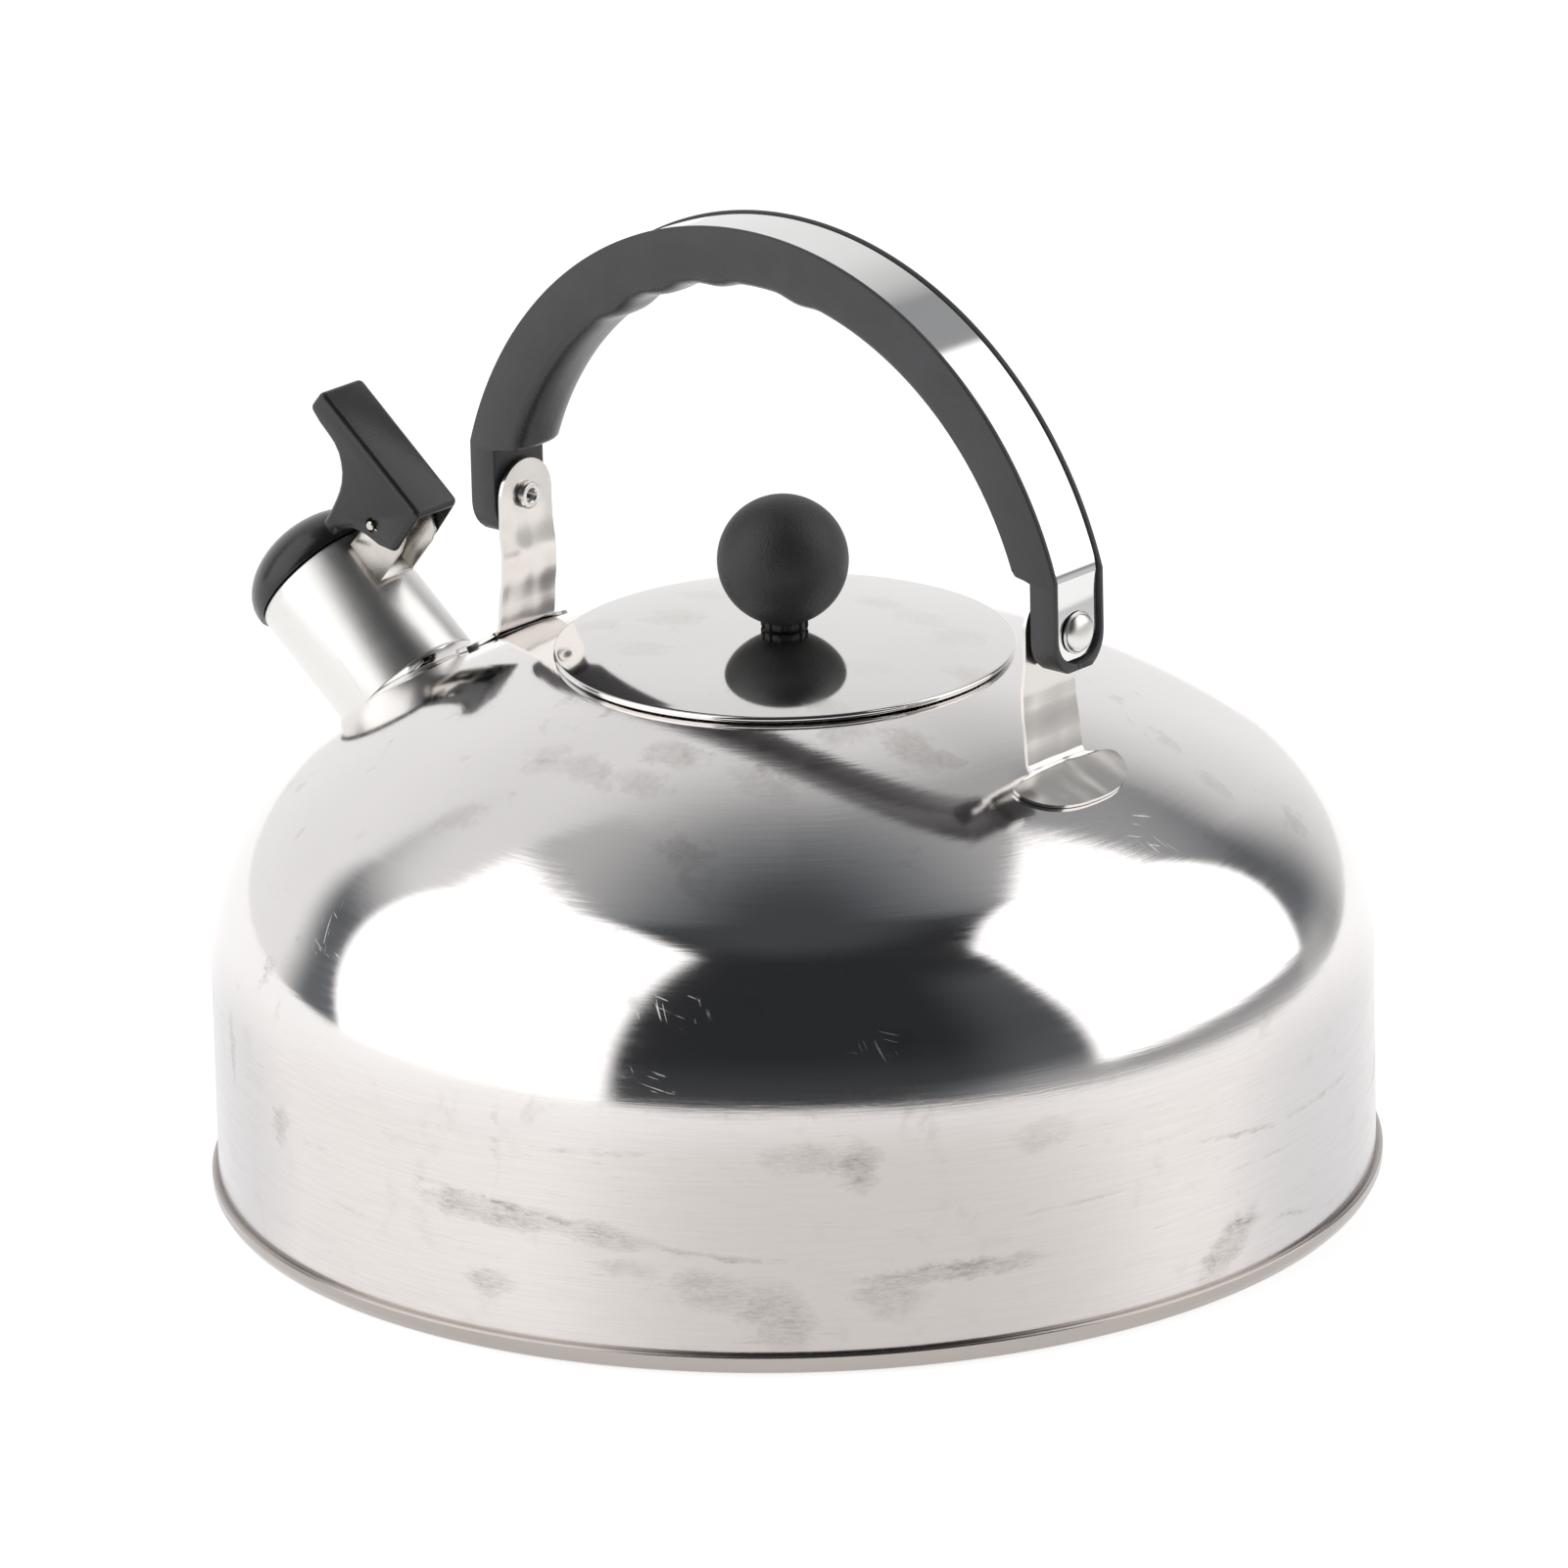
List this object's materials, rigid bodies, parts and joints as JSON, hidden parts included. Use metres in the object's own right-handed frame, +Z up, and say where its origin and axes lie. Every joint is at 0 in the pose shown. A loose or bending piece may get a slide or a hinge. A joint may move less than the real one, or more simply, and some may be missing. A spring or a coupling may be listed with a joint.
{
  "type": "whistling kettle",
  "caption": "Stovetop kettle with a squat domed steel body, upward spout under a sprung whistle cap, lift-off lid and folding bail handle.",
  "frame": {"origin": "on the kettle's axis at the underside of the base", "axes": "+Z up; the spout points along -X; the handle arch stands in the XZ plane; +Y completes the right-handed frame"},
  "size_m": [0.2432, 0.2226, 0.1864],
  "materials": {
    "body_steel": "polished stainless steel",
    "base_steel": "dull brushed stainless steel",
    "bracket_steel": "bright pressed stainless steel",
    "strip_steel": "mirror polished stainless strip",
    "rivet_steel": "polished rivets",
    "fitting_steel": "plain pressed steel",
    "grip_plastic": "charcoal black phenolic plastic",
    "cap_plastic": "satin black moulded plastic",
    "knob_plastic": "fine textured black plastic"
  },
  "bodies": {
    "kettle": {"body_shell": "body_steel", "base_pan": "base_steel", "spout_tube": "body_steel", "whistle_bracket": "fitting_steel", "whistle_pin": "fitting_steel", "whistle_spring": "fitting_steel", "handle_bracket_left": "bracket_steel", "handle_bracket_right": "bracket_steel"},
    "handle": {"handle_grip": "grip_plastic", "handle_strip": "strip_steel", "handle_rivet_left": "rivet_steel", "handle_rivet_right": "rivet_steel"},
    "whistle": {"whistle_cap": "cap_plastic", "whistle_sleeve": "fitting_steel", "whistle_inner_disc": "fitting_steel", "whistle_outer_disc": "fitting_steel"},
    "lid": {"lid_shell": "body_steel", "lid_skirt": "fitting_steel", "lid_knob": "knob_plastic", "knob_washer": "fitting_steel", "knob_screw": "fitting_steel"}
  },
  "joints": [
    {"name": "handle_fold", "type": "hinge", "parent": "kettle", "child": "handle", "pos_m": [0, 0, 0.121], "axis": [1, 0, 0], "range_deg": [-98, 98]},
    {"name": "whistle_lift", "type": "hinge", "parent": "kettle", "child": "whistle", "pos_m": [-0.10033, 0, 0.1094], "axis": [0, 1, 0], "range_deg": [0, 45], "stiffness_Nm_per_rad": 0.05, "springref_deg": -20.05},
    {"name": "lid_lift", "type": "slide", "parent": "kettle", "child": "lid", "axis": [0, 0, 1], "range_m": [0, 0.04]}
  ]
}
